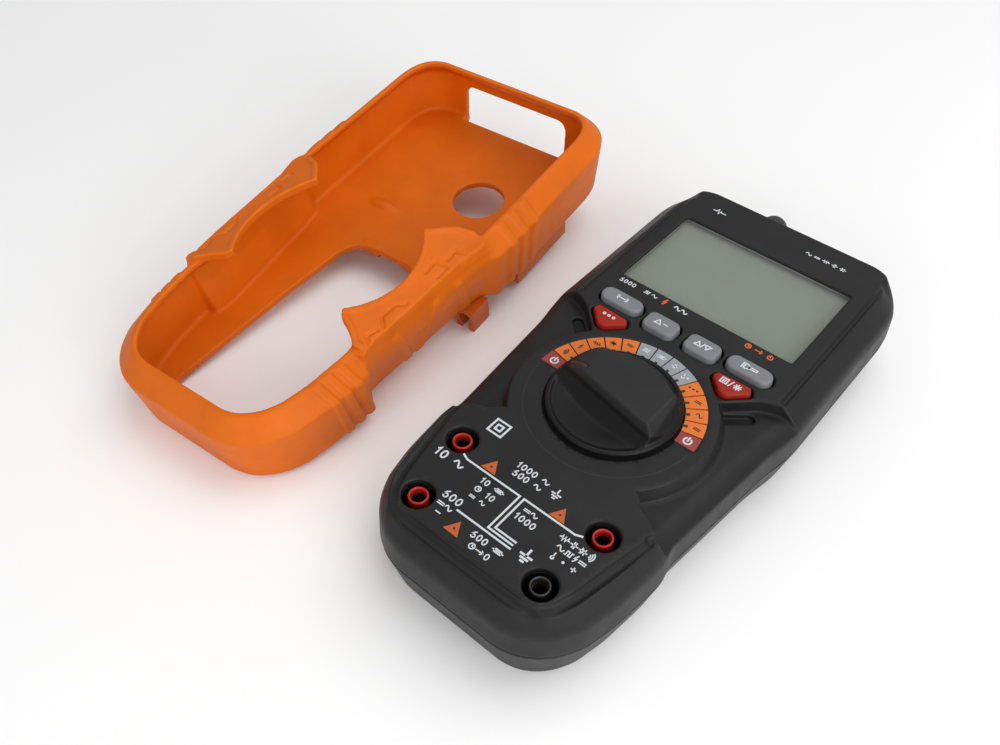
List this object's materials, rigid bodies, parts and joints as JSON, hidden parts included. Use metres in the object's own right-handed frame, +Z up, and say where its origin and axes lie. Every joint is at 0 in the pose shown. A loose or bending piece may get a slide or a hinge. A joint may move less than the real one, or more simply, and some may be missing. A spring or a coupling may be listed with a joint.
{
  "type": "digital multimeter",
  "caption": "Handheld multimeter with display, selector dial, function keys and recessed input jacks, beside its separate soft holster.",
  "frame": {"origin": "selector dial axis on the plane the meter rests on", "axes": "+X right of someone reading the display, +Y towards the display end, +Z up out of the front face"},
  "size_m": [0.2038, 0.1898, 0.0428],
  "materials": {
    "case_dark": "fine spark texture, satin",
    "rear_dark": "fine spark texture, satin",
    "screw_steel": "plated",
    "window_clear": "clear, polished",
    "lcd_grey": "reflective grey-green film",
    "backlight_white": "diffusing",
    "holder_ivory": "moulded",
    "rubber_dark": "elastomer",
    "board_green": "solder mask",
    "contact_gold": "gold flashed",
    "chip_black": "moulded epoxy",
    "membrane_grey": "silicone",
    "ceramic_white": "fired tube",
    "cap_nickel": "nickel plated",
    "cell_blue": "plain sleeve",
    "spring_steel": "plated",
    "led_clear": "epoxy lens",
    "dome_dark": "translucent smoke",
    "knob_dark": "satin",
    "pointer_red": "paint filled",
    "rotor_white": "acetal",
    "detent_grey": "acetal",
    "print_orange": "printed",
    "print_grey": "printed",
    "print_dark_red": "printed",
    "key_grey": "matt",
    "key_red": "matt",
    "jack_red": "moulded",
    "jack_black": "moulded",
    "sleeve_brass": "nickel flashed",
    "print_white": "printed",
    "print_amber": "printed",
    "holster_orange": "soft elastomer, matt"
  },
  "bodies": {
    "meter": {"front_case": "case_dark", "rear_case": "rear_dark", "battery_door": "rear_dark", "case_screws": "screw_steel", "display_window": "window_clear", "lcd_panel": "lcd_grey", "backlight_plate": "backlight_white", "lcd_holder": "holder_ivory", "zebra_strip": "rubber_dark", "main_pcb": "board_green", "board_tracks": "contact_gold", "chips": "chip_black", "keypad_membrane": "membrane_grey", "pcb_screws": "screw_steel", "door_screw": "screw_steel", "buzzer": "chip_black", "fuse_bodies": "ceramic_white", "fuse_caps": "cap_nickel", "fuse_clips": "sleeve_brass", "battery_cells": "cell_blue", "battery_contacts": "spring_steel", "torch_led": "led_clear", "sensor_dome": "dome_dark", "detent_ring": "detent_grey", "scale_orange": "print_orange", "scale_grey": "print_grey", "scale_off": "print_dark_red", "jack_tubes_red": "jack_red", "jack_tube_black": "jack_black", "jack_sleeves": "sleeve_brass", "face_marks": "print_white", "face_triangles": "print_amber"},
    "dial": {"selector_knob": "knob_dark", "knob_pointer": "pointer_red", "selector_rotor": "rotor_white", "rotor_wipers": "contact_gold", "detent_plungers": "spring_steel"},
    "range_key": {"key_range": "key_grey"},
    "relative_key": {"key_relative": "key_grey"},
    "minmax_key": {"key_minmax": "key_grey"},
    "torch_key": {"key_torch": "key_grey"},
    "select_key": {"key_select": "key_red"},
    "hold_key": {"key_hold": "key_red"},
    "holster": {"holster_shell": "holster_orange", "holster_clips": "holster_orange"}
  },
  "joints": [
    {"name": "dial_turn", "type": "hinge", "parent": "meter", "child": "dial", "pos_m": [0, 0, 0.031], "axis": [0, 0, 1], "range_deg": [-168, 0]},
    {"name": "range_key_press", "type": "slide", "parent": "meter", "child": "range_key", "axis": [0, 0, -1], "range_m": [0, 0.001], "stiffness_N_per_m": 400},
    {"name": "relative_key_press", "type": "slide", "parent": "meter", "child": "relative_key", "axis": [0, 0, -1], "range_m": [0, 0.001], "stiffness_N_per_m": 400},
    {"name": "minmax_key_press", "type": "slide", "parent": "meter", "child": "minmax_key", "axis": [0, 0, -1], "range_m": [0, 0.001], "stiffness_N_per_m": 400},
    {"name": "torch_key_press", "type": "slide", "parent": "meter", "child": "torch_key", "axis": [0, 0, -1], "range_m": [0, 0.001], "stiffness_N_per_m": 400},
    {"name": "select_key_press", "type": "slide", "parent": "meter", "child": "select_key", "axis": [0, 0, -1], "range_m": [0, 0.001], "stiffness_N_per_m": 400},
    {"name": "hold_key_press", "type": "slide", "parent": "meter", "child": "hold_key", "axis": [0, 0, -1], "range_m": [0, 0.001], "stiffness_N_per_m": 400},
    {"name": "holster_lift", "type": "slide", "parent": "meter", "child": "holster", "axis": [0, 0, 1], "range_m": [0, 0.12]}
  ]
}
